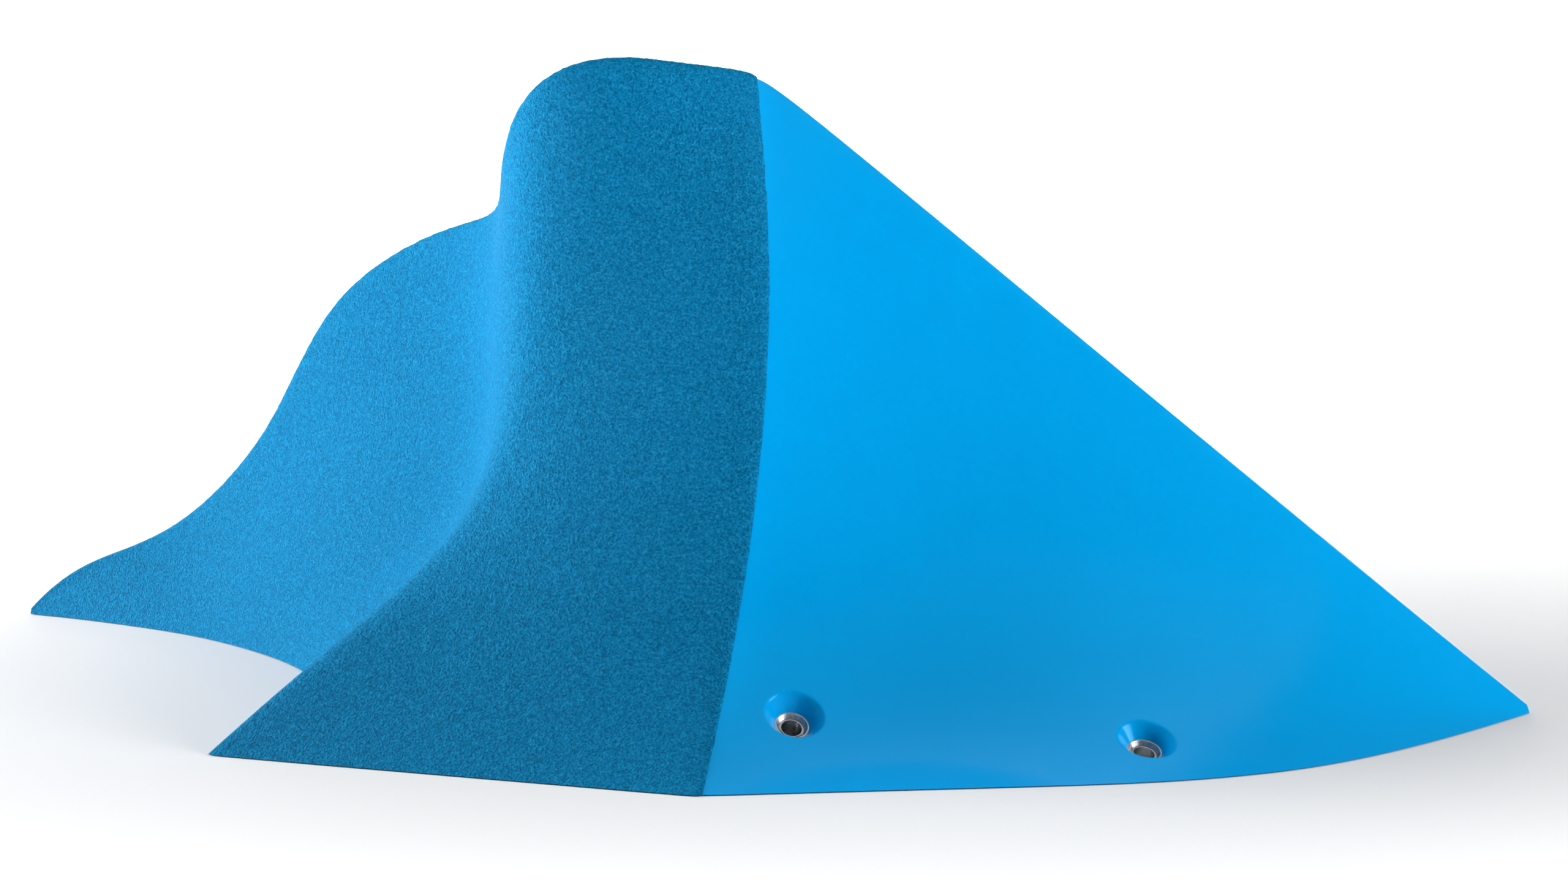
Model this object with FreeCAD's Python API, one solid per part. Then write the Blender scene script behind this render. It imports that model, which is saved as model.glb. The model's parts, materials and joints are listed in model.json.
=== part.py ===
"""Fibreglass climbing volume: a hollow wave-shaped shell that screws to a climbing wall.

Frame: +Z points out of the wall, Z = 0 is the wall, +X runs along the long straight ridge.
The outside is one smooth skin.  It hangs from a crest line down to the base outline on both
sides, and every layer of the shell is the same skin drawn in towards a line inside it.
"""
import FreeCAD, Part
import math
import os
from FreeCAD import Vector

# ---------------------------------------------------------------- overall size, mm
LENGTH = 1000.0
DEPTH = 571.0
HEIGHT = 384.0
DRAWN_SIZE = (1000.0, 571.0, 384.0)      # the size that the rib points below are drawn at

# ---------------------------------------------------------------- layers of the shell, mm
GRIP_COAT = 1.0           # sprayed sand texture, stands proud of the gloss
GELCOAT = 0.9
LAMINATE = 5.0
NEST_POINT = (40.0, 110.0)  # on the wall; each layer is drawn in towards it
NEST_LEAN = (-0.25, -0.25)  # how far that point moves for each mm of height
NEST_REACH = 190.0          # usual distance from it to the skin, square to the skin
LEFT_TIP_SOLID = 70.0      # length of each tip that is filled with resin
RIGHT_TIP_SOLID = 55.0

# ---------------------------------------------------------------- fixing pockets, mm
POCKETS = [
    # name, place over the wall (x, y), depth
    ("front_left", (71.0, -204.0), 8.0),
    ("front_right", (255.0, -205.0), 7.0),
    ("back_right", (225.0, 146.0), 8.0),
    ("back_middle", (10.0, 247.0), 8.0),
    ("back_left", (-125.0, 250.0), 8.0),
]
MOUTH_R = 15.5
LIP_ROUND = 1.6
CUP_R = 18.5
PAD_R = 30.0
BUSH_R = 9.0
BORE_R = 5.5               # clears a 10 mm screw
SEAT_DEPTH = 2.2           # conical seat for the screw head
SEAT_RIM = 0.7
GROOVE_WIDTH = 0.5
GROOVE_DEPTH = 0.6
COLLAR_WIDTH = 0.7

# ---------------------------------------------------------------- plywood inside, mm
PLY = 12.0
RIM_WIDTH = 62.0
BOND_GAP = 0.3             # glue line between plywood and laminate
SCREW_R = 2.0
SCREW_HEAD_R = 4.0
SCREW_LENGTH = 30.0

# ---------------------------------------------------------------- the ribs of the skin, mm
# Each rib is a profile over the crest: base, toe, middle and high point on the front side,
# the crest and how far its rounding reaches, then high point, toe and base on the back side.
RIBS = [
    ("left_tip", (-500, 243, 0), (-500, 243.5, 1), (-500, 244, 2), (-500, 244.5, 3),
     (-500, 245, 4), 0.5, (-500, 246, 3), (-500, 247, 1), (-500, 248, 0)),
    ("lobe_1", (-465, 228, 0), (-464, 231, 10), (-465, 235, 20), (-467, 240, 28),
     (-472, 243, 36), 4, (-469, 249, 24), (-468, 256, 9), (-468, 262, 0)),
    ("lobe_2", (-410, 196, 0), (-406, 202, 12), (-405, 212, 27), (-410, 224, 42),
     (-420, 236, 52), 8, (-418, 250, 37), (-417, 266, 14), (-417, 277, 0)),
    ("lobe_3", (-355, 160, 0), (-348, 168, 18), (-345, 185, 42), (-353, 205, 65),
     (-368, 226, 80), 10, (-363, 250, 55), (-361, 274, 20), (-360, 288, 0)),
    ("lobe_4", (-304, 112, 0), (-295, 125, 30), (-286, 150, 75), (-286, 178, 120),
     (-303, 203, 148), 14, (-306, 235, 100), (-303, 270, 30), (-300, 296, 0)),
    ("lobe_5", (-250, 48, 0), (-232, 66, 40), (-215, 100, 105), (-218, 140, 180),
     (-262, 183, 248), 20, (-250, 228, 150), (-242, 270, 40), (-240, 301, 0)),
    ("valley", (-212, -30, 0), (-185, 0, 38), (-140, 45, 115), (-128, 80, 215),
     (-165, 122, 296), 25, (-165, 180, 165), (-167, 252, 26), (-170, 303, 0)),
    ("flank", (-221, -110, 0), (-182, -70, 32), (-112, -5, 108), (-120, 15, 225),
     (-116, 62, 296), 20, (-115, 165, 165), (-114, 247, 20), (-115, 303, 0)),
    ("ridge_in", (-238, -176, 0), (-184, -108, 42), (-104, -54, 108), (-110, -20, 225),
     (-112, 15, 324), 22, (-85, 155, 170), (-80, 245, 19), (-80, 303, 0)),
    ("ridge", (-244, -185, 0), (-190, -126, 54), (-106, -90, 106), (-90, -58, 218),
     (-101, -12, 360), 25, (-65, 145, 172), (-60, 244, 19), (-60, 303, 0)),
    ("ridge_out", (-236, -188, 0), (-178, -142, 46), (-92, -108, 98), (-68, -72, 208),
     (-76, -27, 384), 25, (-45, 140, 175), (-40, 243, 19), (-40, 303, 0)),
    ("column_1", (-160, -212, 0), (-136, -158, 34), (-82, -118, 105), (-42, -72, 230),
     (-38, -31, 394), 28, (-15, 137, 178), (-10, 243, 19), (-10, 303, 0)),
    ("column_2", (-60, -243, 0), (-45, -188, 34), (-22, -138, 112), (-2, -75, 245),
     (5, -20, 388), 24, (25, 136, 178), (30, 242, 19), (30, 302, 0)),
    ("border_in", (14, -266, 0), (23, -194, 34), (39, -143, 115), (50, -75, 250),
     (40, -4, 382), 12, (57, 138, 175), (61, 240, 19), (62, 300, 0)),
    ("border", (25, -269, 0), (34.5, -191, 34), (51, -138, 117), (61, -70, 250),
     (49, 3, 378), 8, (71, 139, 172), (73, 238, 19), (76, 298, 0)),
    ("border_out", (37, -268, 0), (46, -188, 27), (62, -134, 112), (70, -66, 246),
     (60, 3, 374), 8, (83, 139, 168), (86, 233, 18), (92, 293, 0)),
    ("face_1", (120, -259, 0), (122, -198, 7), (132, -126, 80), (141, -65, 195),
     (148, -15, 301), 8, (157, 108, 128), (158, 196, 15), (172, 250, 0)),
    ("face_2", (215, -250, 0), (222, -198, 17), (232, -132, 60), (242, -80, 135),
     (252, -35, 214), 8, (258, 60, 88), (258, 122, 13), (268, 165, 0)),
    ("face_3", (300, -237, 0), (308, -190, 13), (325, -130, 42), (340, -90, 82),
     (356, -55, 127), 8, (357, 15, 60), (360, 52, 14), (362, 70, 0)),
    ("face_4", (391, -191, 0), (400, -155, 10), (412, -125, 24), (424, -98, 40),
     (438, -71, 58), 6, (440, -45, 30), (444, -25, 8), (446, -12, 0)),
    ("right_tip", (502.3, -88, 0), (502.3, -87, 1), (502.3, -86, 2), (502.3, -85, 3),
     (502.3, -83, 4), 0.5, (502.3, -81, 3), (502.3, -80, 1), (502.3, -78, 0)),
]
BORDER_RIB = "border"      # the grip coat covers the skin from the left tip to this rib
DEGREE = 3

UP = Vector(0, 0, 1)
STRETCH = [now / drawn for now, drawn in zip((LENGTH, DEPTH, HEIGHT), DRAWN_SIZE)]
FAR = 2.0 * LENGTH


def place(x, y, z=0.0):
    """A drawn point at the volume's real size."""
    return Vector(x * STRETCH[0], y * STRETCH[1], z * STRETCH[2])


# ---------------------------------------------------------------- the skin
def towards(start, end, distance):
    """A point on the way from start to end, at most half way."""
    way = end - start
    return start + way * min(distance / way.Length, 0.5)


def rib_poles(rib):
    """Control points of one rib, with two more that round its crest."""
    base, toe, middle, high, crest = [place(*point) for point in rib[1:6]]
    rounding = rib[6]
    back_high, back_toe, back_base = [place(*point) for point in rib[7:10]]
    front_shoulder = towards(crest, high, rounding)
    back_shoulder = towards(crest, back_high, rounding)
    return [base, toe, middle, high, front_shoulder, crest,
            back_shoulder, back_high, back_toe, back_base]


def even_knots(count):
    """Knots one apart, clamped at both ends, for that many control points."""
    spans = count - DEGREE
    knots = [float(i) for i in range(spans + 1)]
    repeats = [DEGREE + 1] + [1] * (spans - 1) + [DEGREE + 1]
    return knots, repeats


def drawn_in(pole, scale):
    """A control point moved towards the leaning middle line of the volume."""
    lean = Vector(NEST_LEAN[0] * pole.z, NEST_LEAN[1] * pole.z, 0)
    middle = place(*NEST_POINT) + lean
    return middle + (pole - middle) * scale


def skin(inset):
    """The skin surface, drawn in by inset: u runs along the volume, v over the crest."""
    scale = 1.0 - inset / NEST_REACH
    poles = [[drawn_in(pole, scale) for pole in rib_poles(rib)] for rib in RIBS]
    u_knots, u_repeats = even_knots(len(poles))
    v_knots, v_repeats = even_knots(len(poles[0]))
    surface = Part.BSplineSurface()
    surface.buildFromPolesMultsKnots(poles, u_repeats, v_repeats, u_knots, v_knots,
                                     False, False, DEGREE, DEGREE)
    return surface


def closed_solid(faces):
    """A solid from faces that meet edge to edge."""
    shell = Part.Shell(faces)
    shell.sewShape()
    solid = Part.Solid(shell)
    if solid.Volume < 0:
        solid.reverse()
    return solid


def wire_face(edges):
    """The flat face inside a ring of edges."""
    return Part.Face(Part.Wire(Part.sortEdges(edges)[0]))


def rim(surface, u_end):
    """Where the skin meets the wall, and its ends: front, back, left and right edges."""
    u_start, _, v_start, v_end = surface.bounds()
    front = surface.vIso(v_start).toShape(u_start, u_end)
    back = surface.vIso(v_end).toShape(u_start, u_end)
    left = surface.uIso(u_start).toShape(v_start, v_end)
    right = surface.uIso(u_end).toShape(v_start, v_end)
    return front, back, left, right


def straight(first, second, end):
    """A straight edge between two edges' points at the start (0) or the end (-1)."""
    picked = [edge.valueAt(edge.FirstParameter if end == 0 else edge.LastParameter)
              for edge in (first, second)]
    return Part.makeLine(picked[0], picked[1])


def filled(inset):
    """Everything between the wall and the skin drawn in by inset."""
    surface = skin(inset)
    u_end = surface.bounds()[1]
    front, back, left, right = rim(surface, u_end)
    left_foot = straight(front, back, 0)
    right_foot = straight(front, back, -1)
    faces = [surface.toShape(), wire_face([left, left_foot]), wire_face([right, right_foot]),
             wire_face([front, right_foot, back, left_foot])]
    return closed_solid(faces)


def grip_coat():
    """The textured layer, from the left tip to the border rib, over both sides."""
    outer = skin(0.0)
    inner = skin(GRIP_COAT)
    u_end = float([rib[0] for rib in RIBS].index(BORDER_RIB) - 1)
    v_start, v_end = outer.bounds()[2:]
    edges = [rim(surface, u_end) for surface in (outer, inner)]
    feet = [straight(front, back, 0) for front, back, left, right in edges]
    front_step = straight(edges[0][0], edges[1][0], -1)
    back_step = straight(edges[0][1], edges[1][1], -1)
    faces = [surface.toShape(0.0, u_end, v_start, v_end) for surface in (outer, inner)]
    for (front, back, left, right), foot in zip(edges, feet):
        faces.append(wire_face([left, foot]))
    ground = [edges[0][0], feet[0], edges[0][1], back_step,
              edges[1][1], feet[1], edges[1][0], front_step]
    faces.append(wire_face(ground))
    faces.append(Part.makeRuledSurface(edges[0][3], edges[1][3]))
    return closed_solid(faces)


# ---------------------------------------------------------------- pockets and bushes
def surface_point(surface, x, y):
    """The skin's point and outward normal over a place on the wall."""
    guess = Vector(x, y, 0.25 * HEIGHT)
    for _ in range(12):
        u, v = surface.parameter(guess)
        found = surface.value(u, v)
        normal = surface.normal(u, v)
        if normal.z < 0:
            normal = normal * -1.0
        slip = (found.x - x) * normal.x + (found.y - y) * normal.y
        guess = Vector(x, y, found.z + slip / normal.z)
    return guess, normal


def turned(profile, origin, axis):
    """A ring turned about axis: profile points are (radius, height above origin)."""
    corners = [Vector(radius, 0, height) for radius, height in profile]
    ring = Part.Face(Part.makePolygon(corners + corners[:1]))
    body = ring.revolve(Vector(0, 0, 0), UP, 360)
    body = Part.Solid(body) if body.ShapeType == "Shell" else body
    body.Placement = FreeCAD.Placement(origin, FreeCAD.Rotation(UP, axis))
    return body


def pocket_parts(place_xy, depth, gloss, envelope, cavity):
    """The cup, pad and bush of one pocket, and the round plug that the shell makes way for."""
    point = place(*place_xy)
    mouth, axis = surface_point(gloss, point.x, point.y)
    floor = mouth - axis * depth
    tall = depth + 4 * CUP_R
    plug = turned([(0, -depth), (CUP_R, -depth), (CUP_R, tall), (0, tall)], mouth, axis)
    hollow = [(0, -depth), (BUSH_R, -depth), (MOUTH_R - LIP_ROUND, -LIP_ROUND)]
    for step in range(1, 4):
        turn = math.radians(30 * step)
        hollow.append((MOUTH_R - LIP_ROUND + LIP_ROUND * math.sin(turn),
                       -LIP_ROUND * math.cos(turn)))
    hollow += [(MOUTH_R, tall), (0, tall)]
    cup = plug.common(envelope).cut(turned(hollow, mouth, axis))
    long = HEIGHT
    shaft = turned([(0, -long), (BUSH_R, -long), (BUSH_R, 0), (0, 0)], floor, axis)
    column = turned([(0, -long), (PAD_R, -long), (PAD_R, tall), (0, tall)], mouth, axis)
    pad = column.common(cavity).cut(plug).cut(shaft)
    seat_r = BORE_R + COLLAR_WIDTH + GROOVE_WIDTH
    bush = turned([
        (BORE_R, -long), (BUSH_R, -long), (BUSH_R, 0), (BUSH_R - SEAT_RIM, 0),
        (seat_r, -SEAT_DEPTH), (seat_r, -SEAT_DEPTH - GROOVE_DEPTH),
        (seat_r - GROOVE_WIDTH, -SEAT_DEPTH - GROOVE_DEPTH),
        (seat_r - GROOVE_WIDTH, -SEAT_DEPTH), (BORE_R, -SEAT_DEPTH)], floor, axis)
    above = Part.makeBox(FAR, FAR, FAR, Vector(-FAR / 2, -FAR / 2, 0))
    return {"cup": cup, "pad": pad, "bush": bush.common(above), "plug": plug,
            "shaft": shaft, "column": column, "floor": floor, "axis": axis}


# ---------------------------------------------------------------- plywood
def board(start, end, thickness, low, high):
    """An upright board on the line from start to end, between two heights."""
    way = end - start
    box = Part.makeBox(way.Length, thickness, high - low, Vector(0, -thickness / 2, low))
    box.Placement = FreeCAD.Placement(start, FreeCAD.Rotation(Vector(1, 0, 0), way))
    return box


def batten(start, end):
    """A flat strip of plywood that lies on the wall, inside the line from start to end."""
    way = end - start
    box = Part.makeBox(way.Length, RIM_WIDTH, PLY)
    box.Placement = FreeCAD.Placement(start, FreeCAD.Rotation(Vector(1, 0, 0), way))
    return box


BATTENS = [
    # name and the two ends of the base line that it lies inside, anticlockwise
    ("front_left", (-225, -188), (25, -268)),
    ("front_right", (104, -261), (224, -250)),
    ("right", (300, -237), (480, -110)),
    ("back_right", (445, -12), (110, 282)),
    ("back", (110, 284), (-240, 302)),
    ("back_left", (-240, 302), (-430, 275)),
    ("bay_back", (-430, 208), (-262, 62)),
    ("bay_front", (-228, 20), (-236, -170)),
]
RIB_BOARDS = [
    ("cross_rib", (32, -225), (66, 275)),
    ("ridge_rib", (47.7, 6.5), (440, -68)),
    ("lobe_rib", (47.7, 11.8), (-385, 236)),
]
RIB_SCREWS = [(430, -66.4), (-368, 227.2)]     # where a rib's end crosses a batten


def countersunk_screw(point):
    """A wood screw driven up from the wall side."""
    head = Part.makeCone(SCREW_HEAD_R, SCREW_R, SCREW_HEAD_R - SCREW_R, point)
    shank = Part.makeCylinder(SCREW_R, SCREW_LENGTH, point)
    return head.fuse(shank)


def plywood(cavity, pockets):
    """The flat rim battens and the three upright ribs, cut to each other and the pads."""
    pieces = {}
    taken = []
    for pocket in pockets.values():
        taken.append(pocket["column"])
    for name, start, end in BATTENS:
        strip = batten(place(*start), place(*end))
        fitted = strip.common(cavity)
        for other in taken:
            fitted = fitted.cut(other)
        taken.append(strip)
        pieces["rim_batten_" + name] = fitted
    standing = []
    for name, start, end in RIB_BOARDS:
        upright = board(place(*start), place(*end), PLY, PLY, HEIGHT)
        fitted = upright.common(cavity)
        for other in standing + [pocket["column"] for pocket in pockets.values()]:
            fitted = fitted.cut(other)
        standing.append(upright)
        pieces[name] = fitted
    screws = Part.makeCompound([countersunk_screw(place(x, y)) for x, y in RIB_SCREWS])
    pieces = {name: piece.cut(screws) for name, piece in pieces.items()}
    pieces["rib_screws"] = screws
    return pieces


# ---------------------------------------------------------------- the whole volume
def build():
    gloss = skin(GRIP_COAT)
    envelope = filled(GRIP_COAT)
    laminate_outside = filled(GRIP_COAT + GELCOAT)
    wall = GRIP_COAT + GELCOAT + LAMINATE
    hollow_box = Part.makeBox(LENGTH - LEFT_TIP_SOLID - RIGHT_TIP_SOLID, FAR, HEIGHT,
                              Vector(-LENGTH / 2 + LEFT_TIP_SOLID, -FAR / 2, 0))
    cavity = filled(wall).common(hollow_box)
    glue_cavity = filled(wall + BOND_GAP).common(hollow_box)

    nodes = {"grip_coat": grip_coat(),
             "gelcoat_skin": envelope.cut(laminate_outside),
             "grp_laminate": laminate_outside.cut(cavity)}
    pockets = {}
    for name, place_xy, depth in POCKETS:
        pockets[name] = pocket_parts(place_xy, depth, gloss, envelope, glue_cavity)
    for pocket in pockets.values():
        for layer in ("grip_coat", "gelcoat_skin", "grp_laminate"):
            nodes[layer] = nodes[layer].cut(pocket["plug"]).cut(pocket["shaft"])
    for name, pocket in pockets.items():
        nodes["pocket_cup_" + name] = pocket["cup"]
        nodes["fixing_pad_" + name] = pocket["pad"]
        nodes["fixing_bush_" + name] = pocket["bush"]
    nodes.update(plywood(glue_cavity, pockets))
    return nodes, pockets


def centred(nodes):
    """The move that puts the origin at the middle of the volume's base."""
    box = FreeCAD.BoundBox()
    for name in ("grip_coat", "gelcoat_skin"):
        box.add(nodes[name].optimalBoundingBox(False, False))
    return Vector(-box.Center.x, -box.Center.y, 0)


def main():
    os.makedirs("parts", exist_ok=True)
    nodes, pockets = build()
    move = centred(nodes)
    for name, shape in nodes.items():
        moved = shape.copy()
        moved.translate(move)
        moved.exportStep(os.path.join("parts", name + ".step"))
        box = moved.optimalBoundingBox(False, False)
        print(name, len(moved.Solids), moved.isValid(), round(moved.Volume),
              [round(v, 1) for v in (box.XMin, box.YMin, box.ZMin, box.XMax, box.YMax, box.ZMax)])
    for name, pocket in pockets.items():
        print(name, "floor", pocket["floor"] + move, "axis", pocket["axis"])


main()
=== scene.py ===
import json
import math
import bmesh
import bpy
import numpy as np
from mathutils import Matrix, Vector, geometry

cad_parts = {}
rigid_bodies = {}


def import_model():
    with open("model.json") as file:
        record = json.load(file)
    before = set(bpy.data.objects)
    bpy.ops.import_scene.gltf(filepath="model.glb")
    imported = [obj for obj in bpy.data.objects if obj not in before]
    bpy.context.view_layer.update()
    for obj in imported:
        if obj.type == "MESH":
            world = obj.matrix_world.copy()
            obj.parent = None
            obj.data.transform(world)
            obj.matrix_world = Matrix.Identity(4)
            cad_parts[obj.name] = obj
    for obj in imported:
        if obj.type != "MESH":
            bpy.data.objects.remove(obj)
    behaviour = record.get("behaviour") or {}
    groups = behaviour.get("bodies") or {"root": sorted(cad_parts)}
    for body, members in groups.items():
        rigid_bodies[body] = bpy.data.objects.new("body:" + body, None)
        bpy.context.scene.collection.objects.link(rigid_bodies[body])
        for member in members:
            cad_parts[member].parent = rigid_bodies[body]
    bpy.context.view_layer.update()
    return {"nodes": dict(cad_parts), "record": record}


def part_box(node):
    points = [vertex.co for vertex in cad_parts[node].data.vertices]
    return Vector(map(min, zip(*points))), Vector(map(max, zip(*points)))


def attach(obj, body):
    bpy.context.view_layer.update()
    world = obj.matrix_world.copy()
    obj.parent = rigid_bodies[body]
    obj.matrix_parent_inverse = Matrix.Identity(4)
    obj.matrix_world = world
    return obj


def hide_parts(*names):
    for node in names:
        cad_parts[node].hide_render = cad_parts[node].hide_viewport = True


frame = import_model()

# A hollow fibreglass climbing volume. This script rebuilds its outside layers and its turned
# bushes as fine meshes inside the CAD frame, and gives every piece its material.
MM = 0.001
SEED = 7
rng = np.random.default_rng(SEED)

# ---------------------------------------------------------------- the skin, as in the CAD model
# Each rib is a line of control points over the crest, in millimetres: base, toe, middle and
# high on the front, the crest and how far its rounding reaches, then high, toe and base on the
# back.
RIBS = [
    ("left_tip", (-500, 243, 0), (-500, 243.5, 1), (-500, 244, 2), (-500, 244.5, 3),
     (-500, 245, 4), 0.5, (-500, 246, 3), (-500, 247, 1), (-500, 248, 0)),
    ("lobe_1", (-465, 228, 0), (-464, 231, 10), (-465, 235, 20), (-467, 240, 28),
     (-472, 243, 36), 4, (-469, 249, 24), (-468, 256, 9), (-468, 262, 0)),
    ("lobe_2", (-410, 196, 0), (-406, 202, 12), (-405, 212, 27), (-410, 224, 42),
     (-420, 236, 52), 8, (-418, 250, 37), (-417, 266, 14), (-417, 277, 0)),
    ("lobe_3", (-355, 160, 0), (-348, 168, 18), (-345, 185, 42), (-353, 205, 65),
     (-368, 226, 80), 10, (-363, 250, 55), (-361, 274, 20), (-360, 288, 0)),
    ("lobe_4", (-304, 112, 0), (-295, 125, 30), (-286, 150, 75), (-286, 178, 120),
     (-303, 203, 148), 14, (-306, 235, 100), (-303, 270, 30), (-300, 296, 0)),
    ("lobe_5", (-250, 48, 0), (-232, 66, 40), (-215, 100, 105), (-218, 140, 180),
     (-262, 183, 248), 20, (-250, 228, 150), (-242, 270, 40), (-240, 301, 0)),
    ("valley", (-212, -30, 0), (-185, 0, 38), (-140, 45, 115), (-128, 80, 215),
     (-165, 122, 296), 25, (-165, 180, 165), (-167, 252, 26), (-170, 303, 0)),
    ("flank", (-221, -110, 0), (-182, -70, 32), (-112, -5, 108), (-120, 15, 225),
     (-116, 62, 296), 20, (-115, 165, 165), (-114, 247, 20), (-115, 303, 0)),
    ("ridge_in", (-238, -176, 0), (-184, -108, 42), (-104, -54, 108), (-110, -20, 225),
     (-112, 15, 324), 22, (-85, 155, 170), (-80, 245, 19), (-80, 303, 0)),
    ("ridge", (-244, -185, 0), (-190, -126, 54), (-106, -90, 106), (-90, -58, 218),
     (-101, -12, 360), 25, (-65, 145, 172), (-60, 244, 19), (-60, 303, 0)),
    ("ridge_out", (-236, -188, 0), (-178, -142, 46), (-92, -108, 98), (-68, -72, 208),
     (-76, -27, 384), 25, (-45, 140, 175), (-40, 243, 19), (-40, 303, 0)),
    ("column_1", (-160, -212, 0), (-136, -158, 34), (-82, -118, 105), (-42, -72, 230),
     (-38, -31, 394), 28, (-15, 137, 178), (-10, 243, 19), (-10, 303, 0)),
    ("column_2", (-60, -243, 0), (-45, -188, 34), (-22, -138, 112), (-2, -75, 245),
     (5, -20, 388), 24, (25, 136, 178), (30, 242, 19), (30, 302, 0)),
    ("border_in", (14, -266, 0), (23, -194, 34), (39, -143, 115), (50, -75, 250),
     (40, -4, 382), 12, (57, 138, 175), (61, 240, 19), (62, 300, 0)),
    ("border", (25, -269, 0), (34.5, -191, 34), (51, -138, 117), (61, -70, 250),
     (49, 3, 378), 8, (71, 139, 172), (73, 238, 19), (76, 298, 0)),
    ("border_out", (37, -268, 0), (46, -188, 27), (62, -134, 112), (70, -66, 246),
     (60, 3, 374), 8, (83, 139, 168), (86, 233, 18), (92, 293, 0)),
    ("face_1", (120, -259, 0), (122, -198, 7), (132, -126, 80), (141, -65, 195),
     (148, -15, 301), 8, (157, 108, 128), (158, 196, 15), (172, 250, 0)),
    ("face_2", (215, -250, 0), (222, -198, 17), (232, -132, 60), (242, -80, 135),
     (252, -35, 214), 8, (258, 60, 88), (258, 122, 13), (268, 165, 0)),
    ("face_3", (300, -237, 0), (308, -190, 13), (325, -130, 42), (340, -90, 82),
     (356, -55, 127), 8, (357, 15, 60), (360, 52, 14), (362, 70, 0)),
    ("face_4", (391, -191, 0), (400, -155, 10), (412, -125, 24), (424, -98, 40),
     (438, -71, 58), 6, (440, -45, 30), (444, -25, 8), (446, -12, 0)),
    ("right_tip", (502.3, -88, 0), (502.3, -87, 1), (502.3, -86, 2), (502.3, -85, 3),
     (502.3, -83, 4), 0.5, (502.3, -81, 3), (502.3, -80, 1), (502.3, -78, 0)),
]
BORDER_RIB = "border"
DEGREE = 3
GRIP_COAT = 1.0 * MM
GELCOAT = 0.9 * MM
# inner layers are the skin drawn in towards a leaning line; at this reach they would meet it
NEST_POINT = np.array([0.040, 0.110, 0.0])
NEST_LEAN = np.array([-0.25, -0.25, 0.0])
NEST_REACH = 0.190
SLOPE_STEP = 1e-3
TINY = 1e-9
LEAST_LENGTH = 1e-12


def towards(start, end, distance):
    """A point on the way from start to end, at most half way."""
    way = end - start
    return start + way * min(distance / np.linalg.norm(way), 0.5)


def rib_poles(rib):
    """Control points of one rib, with two more that round its crest."""
    front = [np.array(point) * MM for point in rib[1:5]]
    crest = np.array(rib[5]) * MM
    back = [np.array(point) * MM for point in rib[7:10]]
    rounding = rib[6] * MM
    return front + [towards(crest, front[-1], rounding), crest,
                    towards(crest, back[0], rounding)] + back


POLES = np.array([rib_poles(rib) for rib in RIBS], float)
U_END = float(len(RIBS) - DEGREE)
V_END = float(POLES.shape[1] - DEGREE)
BORDER_U = float([rib[0] for rib in RIBS].index(BORDER_RIB) - 1)


def basis(count, values):
    """Cubic B-spline weights of count control points, with knots one apart, at each value."""
    spans = count - DEGREE
    knots = np.concatenate([np.zeros(DEGREE), np.arange(spans + 1.0), np.full(DEGREE, spans)])
    values = np.clip(values, 0.0, spans - TINY)[:, None]
    weights = ((values >= knots[None, :-1]) & (values < knots[None, 1:])).astype(float)
    for degree in range(1, DEGREE + 1):
        left, right = knots[:-degree - 1], knots[degree + 1:]
        rise = knots[degree:-1] - left
        fall = right - knots[1:-degree]
        up = np.where(rise > 0, (values - left) / np.where(rise > 0, rise, 1), 0)
        down = np.where(fall > 0, (right - values) / np.where(fall > 0, fall, 1), 0)
        weights = up * weights[:, :-1] + down * weights[:, 1:]
    return weights


def nested(points, inset):
    """Points of the outer skin drawn in towards the leaning middle line, as the CAD does it."""
    middle = NEST_POINT + points[..., 2:3] * NEST_LEAN
    return middle + (points - middle) * (1.0 - inset / NEST_REACH)


class Skin:
    """The skin surface at one inset."""

    def __init__(self, inset):
        self.poles = nested(POLES, inset) + SHIFT

    def grid(self, us, vs):
        """Points on the grid of those u and v."""
        across = np.tensordot(basis(self.poles.shape[1], vs), self.poles, (1, 1))
        return np.tensordot(basis(len(self.poles), us), across, (1, 1))

    def at(self, us, vs):
        """Points at pairs of u and v."""
        across = np.tensordot(basis(len(self.poles), us), self.poles, (1, 0))
        return (across * basis(self.poles.shape[1], vs)[:, :, None]).sum(1)

    def grid_normals(self, us, vs):
        """Outward unit normals on the grid of those u and v."""
        step = SLOPE_STEP
        along = self.grid(us + step, vs) - self.grid(us - step, vs)
        over = self.grid(us, vs + step) - self.grid(us, vs - step)
        return unit(np.cross(along, over))


def unit(vectors):
    """Vectors at length one."""
    return vectors / np.maximum(np.linalg.norm(vectors, axis=-1, keepdims=True),
                                LEAST_LENGTH)


SHIFT_COUNTS = (300, 200)


def frame_shift():
    """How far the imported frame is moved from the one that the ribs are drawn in."""
    low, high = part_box("grip_coat")
    us = np.linspace(0, BORDER_U, SHIFT_COUNTS[0])
    vs = np.linspace(0, V_END, SHIFT_COUNTS[1])
    drawn = np.einsum("ai,bj,ijk->abk", basis(len(POLES), us), basis(POLES.shape[1], vs),
                      POLES).reshape(-1, 3)
    return np.array([low.x - drawn[:, 0].min(),
                     (low.y + high.y - drawn[:, 1].min() - drawn[:, 1].max()) / 2, 0.0])


SHIFT = frame_shift()


# ---------------------------------------------------------------- meshes out of points and faces
MERGE_WITHIN = 1e-6
FLAT_WITHIN = 1e-7
SPREAD_FINE = 500
SPREAD_LINES = 60
SPREAD_PERCENTILE = 85


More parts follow.
